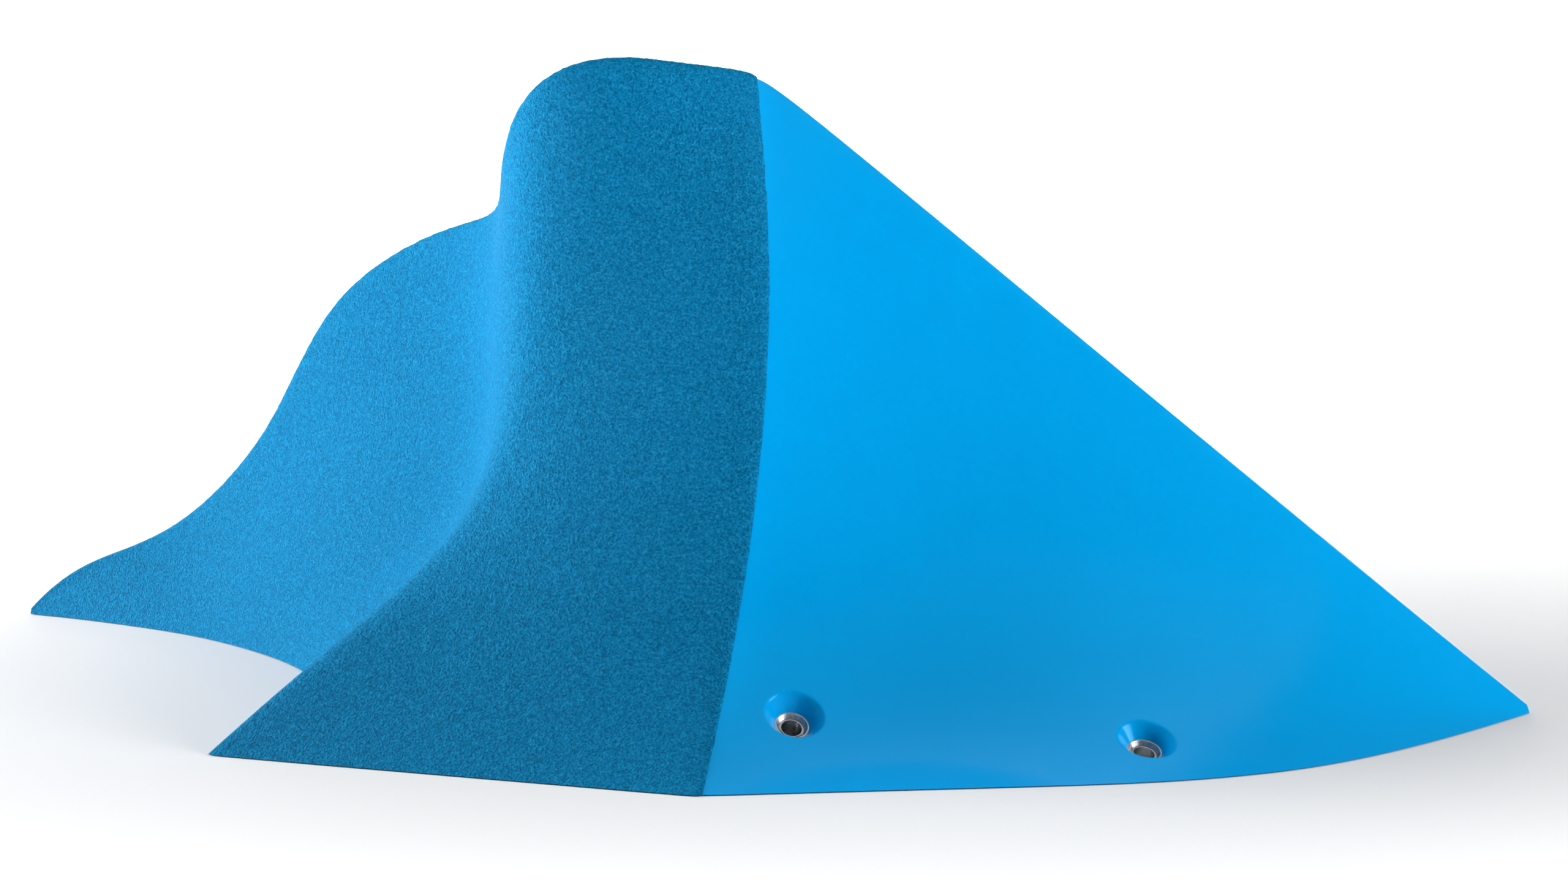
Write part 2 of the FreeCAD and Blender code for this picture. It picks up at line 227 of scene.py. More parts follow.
class Build:
    """Points and faces of one mesh as it grows."""

    def __init__(self):
        self.points = []
        self.faces = []

    def add(self, points):
        """Adds points and gives their numbers."""
        first = len(self.points)
        self.points.extend(np.asarray(points).reshape(-1, 3).tolist())
        return np.arange(first, len(self.points))

    def strip(self, one, other):
        """Joins two lines of points, which may have different counts, by length along each."""
        run_one, run_other = self.run(one), self.run(other)
        i = j = 0
        while i < len(one) - 1 or j < len(other) - 1:
            last_other = j == len(other) - 1
            if last_other or (i < len(one) - 1 and run_one[i + 1] <= run_other[j + 1]):
                self.faces.append((one[i], other[j], one[i + 1]))
                i += 1
            else:
                self.faces.append((one[i], other[j], other[j + 1]))
                j += 1

    def run(self, line):
        """How far along a line each of its points is, from 0 to 1."""
        places = np.array([self.points[i] for i in line])
        steps = np.linalg.norm(np.diff(places, axis=0), axis=1) + TINY
        length = np.concatenate([[0.0], np.cumsum(steps)])
        return length / length[-1]

    def finish(self, name, material, nodes, sharp_degrees):
        """The mesh as an object that rides on the body and stands for the CAD nodes."""
        mesh = bpy.data.meshes.new(name)
        faces = [tuple(int(i) for i in face) for face in self.faces]
        mesh.from_pydata(self.points, [], faces)
        form = bmesh.new()
        form.from_mesh(mesh)
        bmesh.ops.remove_doubles(form, verts=form.verts, dist=MERGE_WITHIN)
        bmesh.ops.dissolve_degenerate(form, edges=form.edges, dist=FLAT_WITHIN)
        loose = [vert for vert in form.verts if not vert.link_faces]
        bmesh.ops.delete(form, geom=loose, context="VERTS")
        bmesh.ops.recalc_face_normals(form, faces=form.faces)
        form.to_mesh(mesh)
        form.free()
        mesh.polygons.foreach_set("use_smooth", [True] * len(mesh.polygons))
        mesh.set_sharp_from_angle(angle=math.radians(sharp_degrees))
        mesh.materials.append(material)
        piece = bpy.data.objects.new(name, mesh)
        bpy.context.scene.collection.objects.link(piece)
        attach(piece, "root")
        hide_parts(*nodes)
        return piece


def spread(skin, along, start, end, cell):
    """Values of u or v whose lines lie about a cell apart where they are far apart."""
    fine = np.linspace(start, end, SPREAD_FINE)
    if along == "u":
        lines = skin.grid(fine, np.linspace(0, V_END, SPREAD_LINES))
    else:
        lines = skin.grid(np.linspace(0, U_END, SPREAD_LINES), fine).transpose(1, 0, 2)
    gaps = np.percentile(np.linalg.norm(np.diff(lines, axis=0), axis=2), SPREAD_PERCENTILE,
                         axis=1)
    run = np.concatenate([[0.0], np.cumsum(gaps)])
    count = max(int(run[-1] / cell), 2)
    return np.interp(np.linspace(0, run[-1], count + 1), run, fine)


RING_CLEAR = 0.6 * MM


class Sheet:
    """One side of a layer as a grid over u and v, into which round holes can be let."""

    def __init__(self, build, skin, us, vs, lift=None):
        self.build, self.skin, self.us, self.vs = build, skin, us, vs
        points = skin.grid(us, vs)
        if lift is not None:
            points = points + skin.grid_normals(us, vs) * lift[..., None]
            points[..., 2] = np.maximum(points[..., 2], 0.0)
        self.ids = build.add(points).reshape(len(us), len(vs))
        self.kept = np.ones((len(us) - 1, len(vs) - 1), bool)

    def let_in(self, ring_uv, ring_ids):
        """Opens the grid around a ring of points and joins it to the ring."""
        low, high = ring_uv.min(0), ring_uv.max(0)
        # a block of the grid that reaches at least one cell past the ring
        i0 = max(np.searchsorted(self.us, low[0]) - 2, 0)
        i1 = min(np.searchsorted(self.us, high[0]) + 1, len(self.us) - 1)
        j0 = max(np.searchsorted(self.vs, low[1]) - 2, 0)
        j1 = min(np.searchsorted(self.vs, high[1]) + 1, len(self.vs) - 1)
        self.kept[i0:i1, j0:j1] = False
        middle = ring_uv.mean(0)
        step = SLOPE_STEP
        here = self.skin.at(middle[:1], middle[1:])[0]
        # metres to one of u and of v, which turn u and v into nearly flat places
        reach = np.array([
            np.linalg.norm(self.skin.at(middle[:1] + step, middle[1:])[0] - here) / step,
            np.linalg.norm(self.skin.at(middle[:1], middle[1:] + step)[0] - here) / step])
        flat_ring = (ring_uv - middle) * reach
        ring_reach = np.linalg.norm(flat_ring, axis=1).max()
        spots, ids = [], []
        edge_walk = ([(i, j0) for i in range(i0, i1)] + [(i1, j) for j in range(j0, j1)]
                     + [(i, j1) for i in range(i1, i0, -1)]
                     + [(i0, j) for j in range(j1, j0, -1)])
        inside = [(i, j) for i in range(i0 + 1, i1) for j in range(j0 + 1, j1)]
        for i, j in edge_walk:
            spots.append((np.array([self.us[i], self.vs[j]]) - middle) * reach)
            ids.append(self.ids[i, j])
        around = len(spots)
        for i, j in inside:
            spot = (np.array([self.us[i], self.vs[j]]) - middle) * reach
            if np.linalg.norm(spot) > ring_reach + RING_CLEAR:
                spots.append(spot)
                ids.append(self.ids[i, j])
        first = len(spots)
        spots.extend(flat_ring)
        ids.extend(ring_ids)
        edges = [(k, (k + 1) % around) for k in range(around)]
        edges += [(first + k, first + (k + 1) % len(flat_ring)) for k in range(len(flat_ring))]
        points_out, _, faces_out, origin, *_ = geometry.delaunay_2d_cdt(
            [Vector(spot) for spot in spots], edges, [], 0, FLAT_WITHIN, True)
        block = np.array(spots[:around])
        for face in faces_out:
            centre = np.array(sum((points_out[k] for k in face), Vector((0, 0))) / len(face))
            if self.in_block(centre, block) and not self.in_ring(centre, flat_ring):
                self.build.faces.append(tuple(ids[origin[k][0]] for k in face))

    @staticmethod
    def in_block(spot, outline):
        """Whether a flat spot lies in the box of the block."""
        return bool((spot > outline.min(0)).all() and (spot < outline.max(0)).all())

    @staticmethod
    def in_ring(spot, ring):
        """Whether a flat spot lies inside a ring of points, by counting crossings."""
        x0, y0 = ring[:, 0], ring[:, 1]
        x1, y1 = np.roll(x0, -1), np.roll(y0, -1)
        crosses = (y0 > spot[1]) != (y1 > spot[1])
        at = x0 + (spot[1] - y0) / np.where(y1 == y0, LEAST_LENGTH, y1 - y0) * (x1 - x0)
        return bool((crosses & (spot[0] < at)).sum() % 2)

    def close(self):
        """Adds the faces of the grid where no hole was let in."""
        grid = self.ids
        corners = np.stack([grid[:-1, :-1], grid[1:, :-1], grid[1:, 1:], grid[:-1, 1:]], -1)
        self.build.faces.extend(corners[self.kept].tolist())

    def tip(self, end):
        """Closes the small open end of the sheet and gives the point at its foot."""
        curve = self.ids[0 if end == "left" else -1]
        first = np.array(self.build.points[curve[0]])
        last = np.array(self.build.points[curve[-1]])
        foot = self.build.add((first + last) / 2)[0]
        for one, other in zip(curve[:-1], curve[1:]):
            self.build.faces.append((foot, one, other))
        return foot


# ---------------------------------------------------------------- pockets
SEGMENTS = 96
BUSH_R = 9.0 * MM
MOUTH_R = 15.5 * MM
LIP_SOFTNESS = 1.3 * MM
COAT_HOLE_R = 18.5 * MM
DISH_WALL = 1.35 * MM
DISH_RINGS = np.array([9.04, 9.2, 9.6, 10.3, 11.1, 11.9, 12.7, 13.3, 13.8, 14.2, 14.6, 15.0,
                       15.4, 15.8, 16.2, 16.7, 17.3, 18.2, 19.3, 20.6]) * MM
SEARCH_COUNTS = (220, 160)
SEARCH_MARGINS = (0.2, 0.02)
NEWTON_ROUNDS = 14
NEWTON_STEP = 1e-4


class Pocket:
    """One fixing pocket: its floor, its axis and two directions across."""

    def __init__(self, mount):
        self.name = mount["name"].removeprefix("screw_")
        self.axis = unit(np.array(mount["axis"], float))
        place = np.array(mount["pos_m"], float)
        bush = frame["nodes"]["fixing_bush_" + self.name]
        corners = np.array([vertex.co for vertex in bush.data.vertices])
        self.floor = place + self.axis * ((corners - place) @ self.axis).max()
        self.side = unit(np.cross(self.axis, [1.0, 0.0, 0.0]))
        self.across = np.cross(self.side, self.axis)
        self.found = {}

    def find(self, skin):
        """The u and v where the axis leaves the skin."""
        if skin not in self.found:
            self.found[skin] = self.search(skin)
        return self.found[skin]

    def search(self, skin):
        """Looks for that u and v on a grid over the whole skin."""
        us, vs = (np.linspace(margin, end - margin, count) for margin, end, count
                  in zip(SEARCH_MARGINS, (U_END, V_END), SEARCH_COUNTS))
        off = skin.grid(us, vs) - self.floor
        along = off @ self.axis
        away = np.linalg.norm(off - along[..., None] * self.axis, axis=2)
        away[along < 0] = math.inf
        i, j = np.unravel_index(away.argmin(), away.shape)
        return np.array([us[i], vs[j]])

    def meets(self, skin, xs, ys):
        """The u, v and height over the floor where lines along the axis meet the skin."""
        spots = np.tile(self.find(skin), (len(xs), 1))
        step = NEWTON_STEP
        for _ in range(NEWTON_ROUNDS):
            us, vs = spots[:, 0], spots[:, 1]
            off = skin.at(us, vs) - self.floor
            miss = np.stack([xs - off @ self.side, ys - off @ self.across], 1)
            du = (skin.at(us + step, vs) - skin.at(us - step, vs)) / (2 * step)
            dv = (skin.at(us, vs + step) - skin.at(us, vs - step)) / (2 * step)
            slopes = np.stack([np.stack([du @ self.side, dv @ self.side], 1),
                               np.stack([du @ self.across, dv @ self.across], 1)], 1)
            spots = spots + np.linalg.solve(slopes, miss[..., None])[..., 0]
        off = skin.at(spots[:, 0], spots[:, 1]) - self.floor
        return spots, off @ self.axis

    def ring(self, radius):
        """Flat places round the axis."""
        turn = np.arange(SEGMENTS) * (2 * math.pi / SEGMENTS)
        return radius * np.cos(turn), radius * np.sin(turn)

    def point(self, xs, ys, heights):
        """Places in the frame of flat places at those heights over the floor."""
        return (self.floor + xs[:, None] * self.side + ys[:, None] * self.across
                + np.asarray(heights)[:, None] * self.axis)


def soft_minimum(one, other, softness):
    """The lower of two heights, with the corner between them rounded."""
    near = np.maximum(softness - np.abs(one - other), 0.0)
    return np.minimum(one, other) - near ** 2 / (4 * softness)


def join_rings(build, one, other):
    """Walls between two rings of as many points."""
    for k in range(len(one)):
        after = (k + 1) % len(one)
        build.faces.append((one[k], other[k], other[after], one[after]))


def dish(sheet, pocket, wall):
    """Lets a round conical dish into a sheet and gives the ring around its bush.

    The dish lies that wall's depth under the one of the gloss face.
    """
    build = sheet.build
    depth = float(pocket.meets(gloss_skin, np.zeros(1), np.zeros(1))[1][0])
    rings = []
    for radius in DISH_RINGS:
        xs, ys = pocket.ring(radius)
        spots, skin_height = pocket.meets(sheet.skin, xs, ys)
        cone = (radius - BUSH_R) / (MOUTH_R - BUSH_R) * depth - wall
        heights = soft_minimum(skin_height, np.full(SEGMENTS, cone), LIP_SOFTNESS)
        rings.append(build.add(pocket.point(xs, ys, heights)))
    for one, other in zip(rings, rings[1:]):
        join_rings(build, one, other)
    sheet.let_in(spots, rings[-1])
    return rings[0]


def round_hole(sheet, pocket, radius):
    """Cuts a round hole in a sheet and gives the ring around it."""
    xs, ys = pocket.ring(radius)
    spots, heights = pocket.meets(sheet.skin, xs, ys)
    ids = sheet.build.add(pocket.point(xs, ys, heights))
    sheet.let_in(spots, ids)
    return ids


pockets = [Pocket(mount) for mount in frame["record"]["mounts"] if mount["kind"] == "bore"]
gloss_skin = Skin(GRIP_COAT)


# ---------------------------------------------------------------- materials
class Material:
    """A node material with one Principled shader."""

    def __init__(self, name, **sockets):
        self.material = bpy.data.materials.new(name)
        self.material.use_nodes = True
        self.tree = self.material.node_tree
        self.shader = self.tree.nodes["Principled BSDF"]
        for socket, value in sockets.items():
            self.shader.inputs[socket.replace("_", " ")].default_value = value

    def node(self, kind, inputs=None, **settings):
        """A node with its settings and inputs, each a value or another node's output."""
        made = self.tree.nodes.new(kind)
        for key, value in settings.items():
            setattr(made, key, value)
        for key, value in (inputs or {}).items():
            if isinstance(value, bpy.types.NodeSocket):
                self.tree.links.new(value, made.inputs[key])
            else:
                made.inputs[key].default_value = value
        return made

    def set(self, socket, output):
        """Links an output to the shader."""
        self.tree.links.new(output, self.shader.inputs[socket])

    def coordinates(self, turn=(0.0, 0.0, 0.0), scale=(1.0, 1.0, 1.0)):
        """The object's own coordinates, in metres, turned and scaled."""
        source = self.node("ShaderNodeTexCoord").outputs["Object"]
        moved = self.node("ShaderNodeMapping",
                          {"Vector": source, "Rotation": turn, "Scale": scale})
        return moved.outputs["Vector"]

    def noise(self, where, scale, detail=2.0, roughness=0.5, distortion=0.0):
        """A noise value; scale is how many features there are in a metre."""
        return self.node("ShaderNodeTexNoise", {
            "Vector": where, "Scale": scale, "Detail": detail, "Roughness": roughness,
            "Distortion": distortion}).outputs["Fac"]

    def ramp(self, value, stops):
        """Colours at places along a value."""
        made = self.node("ShaderNodeValToRGB", {"Fac": value})
        elements = made.color_ramp.elements
        while len(elements) < len(stops):
            elements.new(0.5)
        for element, (place, colour) in zip(elements, stops):
            element.position = place
            element.color = (*colour, 1.0)
        return made.outputs["Color"]

    def fit(self, value, source, target):
        """A value moved from one range to another."""
        return self.node("ShaderNodeMapRange", {
            "Value": value, "From Min": source[0], "From Max": source[1],
            "To Min": target[0], "To Max": target[1]}).outputs["Result"]

    def sum(self, one, other, share=1.0):
        """One value plus a share of another."""
        return self.node("ShaderNodeMath", {0: other, 1: share, 2: one},
                         operation="MULTIPLY_ADD").outputs["Value"]

    def mix(self, factor, one, other, blend="MIX"):
        """Two colours mixed."""
        made = self.node("ShaderNodeMix", data_type="RGBA", blend_type=blend)
        for index, value in ((0, factor), (6, one), (7, other)):
            if isinstance(value, bpy.types.NodeSocket):
                self.tree.links.new(value, made.inputs[index])
            elif index == 0:
                made.inputs[index].default_value = value
            else:
                made.inputs[index].default_value = (*value, 1.0)
        return made.outputs[2]

    def bump(self, height, distance, strength=1.0, before=None):
        """Small relief of that depth in metres."""
        inputs = {"Height": height, "Distance": distance, "Strength": strength}
        if before is not None:
            inputs["Normal"] = before
        return self.node("ShaderNodeBump", inputs).outputs["Normal"]


GLOSS_BLUE = (0.0002, 0.366, 0.822)
GLOSS_BLUE_DEEP = (0.0001, 0.352, 0.795)
GRIP_BLUE = (0.0012, 0.188, 0.400)
# the darker and lighter grip blues are painted shade in the grit's hollows and painted light on
# its grain tops
GRIP_BLUE_PAINTED_SHADE = (0.0008, 0.118, 0.262)
GRIP_BLUE_PAINTED_LIGHT = (0.012, 0.285, 0.560)
TURNED_STEEL = (0.56, 0.57, 0.58)
ZINC_STEEL = (0.62, 0.58, 0.44)
PLY_LAYER = 1.35 * MM
PLY_GRAIN = (14.0, 190.0, 190.0)
STRAND_TURNS = (0.2, 1.1, 1.9, 2.7)
STRAND_GRAIN = (420.0, 38.0, 110.0)
# most of a noise lies between these two values
NOISE_RANGE = (0.3, 0.7)


def gelcoat_material():
    """High gloss blue gelcoat, with the faint unevenness of a polished mould."""
    made = Material("gelcoat_blue", Roughness=0.16, IOR=1.5, Specular_IOR_Level=0.20,
                    Specular_Tint=(0.10, 0.62, 1.0, 1.0))
    where = made.coordinates()
    cloud = made.noise(where, 5.0, detail=3.0)
    made.set("Base Color", made.ramp(cloud, [(0.35, GLOSS_BLUE_DEEP), (0.65, GLOSS_BLUE)]))
    haze = made.noise(where, 38.0, detail=4.0, roughness=0.6)
    made.set("Roughness", made.fit(haze, NOISE_RANGE, (0.12, 0.22)))
    peel = made.noise(where, 260.0, detail=2.0)
    wave = made.noise(where, 16.0, detail=1.0)
    smooth = made.bump(wave, 2.2 * MM, strength=0.25)
    made.set("Normal", made.bump(peel, 0.06 * MM, strength=0.35, before=smooth))
    return made.material


def grip_material():
    """Blue paint over sprayed sand: matt and rough to the touch, speckled with painted shade in
    the grit's hollows and painted light on its grain tops.
    """
    made = Material("grip_coat_blue", Roughness=0.8, IOR=1.5, Specular_IOR_Level=0.08,
                    Specular_Tint=(0.25, 0.70, 1.0, 1.0))
    where = made.coordinates()
    grain = made.noise(where, 760.0, detail=2.0, roughness=0.6)
    clump = made.noise(where, 330.0, detail=2.0, roughness=0.6)
    sweep = made.noise(where, 9.0, detail=3.0, roughness=0.55)
    grit_relief = made.sum(grain, clump, 0.35)
    # the colour follows the grit's relief: painted shade where it is low, painted light where it
    # is high
    colour = made.ramp(grit_relief, [(0.50, GRIP_BLUE_PAINTED_SHADE), (0.67, GRIP_BLUE),
                               (0.88, GRIP_BLUE_PAINTED_LIGHT)])
    shade = made.ramp(sweep, [(0.3, (0.93, 0.96, 0.97)), (0.7, (1.0, 1.0, 1.0))])
    made.set("Base Color", made.mix(1.0, colour, shade, "MULTIPLY"))
    made.set("Roughness", made.fit(grain, NOISE_RANGE, (0.68, 0.9)))
    made.set("Normal", made.bump(grit_relief, 1.7 * MM, strength=1.0))
    return made.material


def laminate_material():
    """The raw inside of chopped strand laminate: pale green resin over a mat of fibres."""
    made = Material("raw_laminate", Roughness=0.42, IOR=1.54, Specular_IOR_Level=0.5)
    relief = None
    for turn in STRAND_TURNS:
        where = made.coordinates((turn * 0.3, turn * 0.5, turn), STRAND_GRAIN)
        strand = made.noise(where, 1.0, detail=2.0, roughness=0.5, distortion=0.6)
        ridge = made.fit(strand, (0.52, 0.66), (0.0, 0.3))
        relief = ridge if relief is None else made.sum(relief, ridge)
    where = made.coordinates()
    pool = made.noise(where, 26.0, detail=4.0)
    base = made.ramp(relief, [(0.0, (0.36, 0.39, 0.27)), (0.35, (0.50, 0.51, 0.37)),
                              (0.9, (0.70, 0.69, 0.55))])
    tone = made.ramp(pool, [(0.3, (0.80, 0.86, 0.80)), (0.7, (1.0, 1.0, 1.0))])
    made.set("Base Color", made.mix(1.0, base, tone, "MULTIPLY"))
    made.set("Roughness", made.fit(pool, NOISE_RANGE, (0.32, 0.6)))
    lumps = made.bump(pool, 1.6 * MM, strength=0.6)
    made.set("Normal", made.bump(relief, 0.7 * MM, strength=0.7, before=lumps))
    return made.material


def resin_material():
    """Cast filled resin around a bush."""
    made = Material("filled_resin", Roughness=0.55, IOR=1.5)
    where = made.coordinates()
    cloud = made.noise(where, 60.0, detail=4.0, roughness=0.6)
    pits = made.node("ShaderNodeTexVoronoi", {"Vector": where, "Scale": 420.0}).outputs["Distance"]
    made.set("Base Color", made.ramp(cloud, [(0.3, (0.50, 0.48, 0.39)),
                                             (0.7, (0.66, 0.64, 0.54))]))
    made.set("Roughness", made.fit(cloud, NOISE_RANGE, (0.45, 0.7)))
    pitted = made.bump(made.fit(pits, (0.0, 0.25), (0.0, 1.0)), 0.3 * MM, strength=0.5)
    made.set("Normal", made.bump(cloud, 0.8 * MM, strength=0.5, before=pitted))
    return made.material


def steel_material(name, colour, roughness, rings_in_metre, lathe=None):
    """Steel with fine rings; a turned piece's lathe map holds its radius and height."""
    made = Material(name, Metallic=1.0, Base_Color=(*colour, 1.0), Roughness=roughness)
    where = made.coordinates()
    across = made.node("ShaderNodeUVMap", uv_map=lathe).outputs["UV"] if lathe else where
    apart = made.node("ShaderNodeSeparateXYZ", {"Vector": across})
    turned = made.sum(apart.outputs["X"], apart.outputs["Y" if lathe else "Z"], 1.0)
    phase = made.node("ShaderNodeMath", {0: turned, 1: rings_in_metre},
                      operation="MULTIPLY").outputs["Value"]
    rings = made.node("ShaderNodeMath", {0: phase}, operation="SINE").outputs["Value"]
    smear = made.noise(where, 300.0, detail=3.0)
    made.set("Base Color", made.ramp(smear, [(0.3, tuple(0.86 * c for c in colour)),
                                             (0.7, colour)]))
    made.set("Roughness", made.fit(smear, NOISE_RANGE, (roughness - 0.06, roughness + 0.10)))
    made.set("Normal", made.bump(rings, 0.03 * MM, strength=0.35))
    return made.material


def plywood_material(name, angle, upright):
    """Birch plywood along a board at that angle; its plies lie flat, or across if upright."""
    made = Material(name, Roughness=0.62, IOR=1.45, Specular_IOR_Level=0.35)
    turn = (0.0, 0.0, -angle)
    along = made.coordinates(turn, PLY_GRAIN)
    apart = made.node("ShaderNodeSeparateXYZ", {"Vector": made.coordinates(turn)})
    depth = apart.outputs["Y" if upright else "Z"]
    count = made.node("ShaderNodeMath", {0: depth, 1: 1.0 / PLY_LAYER},
                      operation="MULTIPLY").outputs["Value"]
    layer = made.node("ShaderNodeMath", {0: count, 1: 2.0}, operation="PINGPONG").outputs["Value"]
    tone = made.ramp(layer, [(0.42, (0.40, 0.25, 0.13)), (0.58, (0.72, 0.55, 0.36))])
    grain = made.noise(along, 1.0, detail=5.0, roughness=0.6, distortion=0.4)
    streak = made.ramp(grain, [(0.3, (0.70, 0.62, 0.54)), (0.55, (1.0, 1.0, 1.0))])
    face = made.ramp(grain, [(0.25, (0.47, 0.31, 0.17)), (0.45, (0.66, 0.49, 0.30)),
                             (0.75, (0.76, 0.60, 0.41))])
    normal = made.node("ShaderNodeNewGeometry").outputs["Normal"]
    normal = made.node("ShaderNodeVectorRotate", {"Vector": normal, "Angle": -angle},
                       rotation_type="Z_AXIS").outputs["Vector"]
    parts = made.node("ShaderNodeSeparateXYZ", {"Vector": normal})
    facing = made.node("ShaderNodeMath", {0: parts.outputs["Y" if upright else "Z"]},
                       operation="ABSOLUTE").outputs["Value"]
    is_face = made.fit(facing, (0.75, 0.85), (0.0, 1.0))
    edge = made.mix(1.0, tone, streak, "MULTIPLY")
    made.set("Base Color", made.mix(is_face, edge, face))
    made.set("Roughness", made.fit(grain, NOISE_RANGE, (0.55, 0.75)))
    made.set("Normal", made.bump(grain, 0.3 * MM, strength=0.5))
    return made.material


# ---------------------------------------------------------------- the gelcoat and its dishes
GELCOAT_CELL = 4.0 * MM
GELCOAT_INNER_CELL = 2.2 * GELCOAT_CELL
HIDDEN_CELL = 9.0 * MM
HIDDEN_TO = BORDER_U - 0.35
GELCOAT_SHARP = 55


def outline(sheet, feet):
    """The numbers round the foot of a sheet, from its left tip by the front, in three lines."""
    left, right = list(feet[:1]), list(feet[1:])
    return (left + list(sheet.ids[:, 0]) + right, list(sheet.ids[-1]),
            left + list(sheet.ids[:, -1]) + right)


def gelcoat():
    """The whole gloss layer, seen on the right of the border and inside the pockets."""
    build = Build()
    rims, rings = [], []
    for inset, wall, cell in ((GRIP_COAT, 0.0, GELCOAT_CELL),
                              (GRIP_COAT + GELCOAT, DISH_WALL, GELCOAT_INNER_CELL)):
        skin = Skin(inset)
        hidden = spread(skin, "u", 0.0, HIDDEN_TO, HIDDEN_CELL)
        shown = spread(skin, "u", HIDDEN_TO, U_END, cell)
        sheet = Sheet(build, skin, np.concatenate([hidden[:-1], shown]),
                      spread(skin, "v", 0.0, V_END, cell))
        rings.append([dish(sheet, pocket, wall) for pocket in pockets])
        sheet.close()
        rims.append(outline(sheet, [sheet.tip("left"), sheet.tip("right")]))
    for outer, inner in zip(*rings):
        join_rings(build, outer, inner)
    build.strip(rims[0][0], rims[1][0])
    build.strip(rims[0][2], rims[1][2])
    cups = ["pocket_cup_" + pocket.name for pocket in pockets]
    build.finish("gelcoat_shell", gelcoat_material(), ["gelcoat_skin"] + cups,
                 GELCOAT_SHARP)


# ---------------------------------------------------------------- the grip coat
GRIT_CELL = 2.1 * MM
GRIT_INNER_CELL = 3.5 * GRIT_CELL
GRIT_HEIGHT = 0.46 * MM
GRAIN_SPREAD = 0.42
GRAIN_OWN = 0.75
GRAIN_AROUND = 0.5
SPRAY_HEIGHT = 0.10 * MM
SPRAY_SPREAD = 0.25
SPRAY_CELLS = 7
LEAST_ROOM = 0.1
BORDER_JITTER = 0.35 * MM
JITTER_LIMIT = 1.5
JITTER_SMOOTHING = 1.8
# how high the coat's last rows stand over the gloss face, the border last
EDGE_HEIGHTS = [1.7 * MM, 1.35 * MM, 0.8 * MM]
GRIP_SHARP = 60


def grit(skin, us, vs):
    """How far each point of the coat lies under its outermost face: sand grains and spray."""
    grains = rng.standard_normal((len(us), len(vs)))
    around = (np.roll(grains, 1, 0) + np.roll(grains, -1, 0)
              + np.roll(grains, 1, 1) + np.roll(grains, -1, 1)) / 4
    grains = np.clip(0.5 + GRAIN_SPREAD * (GRAIN_OWN * grains + GRAIN_AROUND * around),
                     0.0, 1.0)
    coarse = rng.standard_normal((len(us) // SPRAY_CELLS + 3, len(vs) // SPRAY_CELLS + 3))
    at_u = np.arange(len(us)) / SPRAY_CELLS
    at_v = np.arange(len(vs)) / SPRAY_CELLS
    rows = np.array([np.interp(at_v, np.arange(coarse.shape[1]), row) for row in coarse])
    spray = np.array([np.interp(at_u, np.arange(coarse.shape[0]), column)
                      for column in rows.T]).T
    spray = np.clip(0.5 + SPRAY_SPREAD * spray, 0.0, 1.0)
    points = skin.grid(us, vs)
    gap_u = np.linalg.norm(np.gradient(points, axis=0), axis=2)
    gap_v = np.linalg.norm(np.gradient(points, axis=1), axis=2)
    room = np.clip(np.minimum(gap_u, gap_v) / GRIT_CELL, LEAST_ROOM, 1.0)
    return -(GRIT_HEIGHT * (1 - grains) * room + SPRAY_HEIGHT * (1 - spray) * room)


def ragged_border(build, sheet):
    """Thins the coat towards its edge at the border, and makes that edge slightly ragged."""
    points = np.array(build.points)
    under = gloss_skin.grid(sheet.us[-len(EDGE_HEIGHTS):], sheet.vs)
    for row, height in enumerate(EDGE_HEIGHTS):
        ids = sheet.ids[row - len(EDGE_HEIGHTS)]
        rise = points[ids] - under[row]
        length = np.linalg.norm(rise, axis=1, keepdims=True)
        points[ids] = under[row] + rise * np.minimum(height / length, 1.0)
    edge, before = sheet.ids[-1], sheet.ids[-2]
    way = unit(points[edge] - points[before])
    jitter = rng.standard_normal(len(edge))
    jitter = np.clip((jitter + np.roll(jitter, 1) + np.roll(jitter, 2)) / JITTER_SMOOTHING,
                     -JITTER_LIMIT, JITTER_LIMIT)
    jitter[[0, -1]] = -1.0
    points[edge] -= way * (BORDER_JITTER * (jitter + 1.0))[:, None]
    for number in sheet.ids[-len(EDGE_HEIGHTS):].ravel():
        build.points[number] = points[number].tolist()


def grip_coat():
    """The sprayed coat over the left part, a shell one millimetre thick with a gritty face."""
    build = Build()
    rims, rings = [], []
    for inset, cell in ((0.0, GRIT_CELL), (GRIP_COAT, GRIT_INNER_CELL)):
        skin = Skin(inset)
        us = spread(skin, "u", 0.0, BORDER_U, cell)
        vs = spread(skin, "v", 0.0, V_END, cell)
        lift = grit(skin, us, vs) if inset == 0.0 else None
        sheet = Sheet(build, skin, us, vs, lift)
        if lift is not None:
            ragged_border(build, sheet)
        rings.append([round_hole(sheet, pocket, COAT_HOLE_R) for pocket in pockets
                      if pocket.find(skin)[0] < BORDER_U])
        sheet.close()
        rims.append(outline(sheet, [sheet.tip("left")]))
    for outer, inner in zip(*rings):
        join_rings(build, outer, inner)
    for one, other in zip(*rims):
        build.strip(one, other)
    build.finish("grip_coat_shell", grip_material(), ["grip_coat"], GRIP_SHARP)


# ---------------------------------------------------------------- the steel bushes
BORE_R = 5.5 * MM
SEAT_R = 6.7 * MM
COLLAR_R = 6.2 * MM
SEAT_DEPTH = 2.2 * MM
GROOVE_DEPTH = 0.6 * MM
RIM_INNER_R = 8.3 * MM
EDGE = 0.18 * MM
BUSH_SHARP = 30
LATHE_MAP = "lathe"


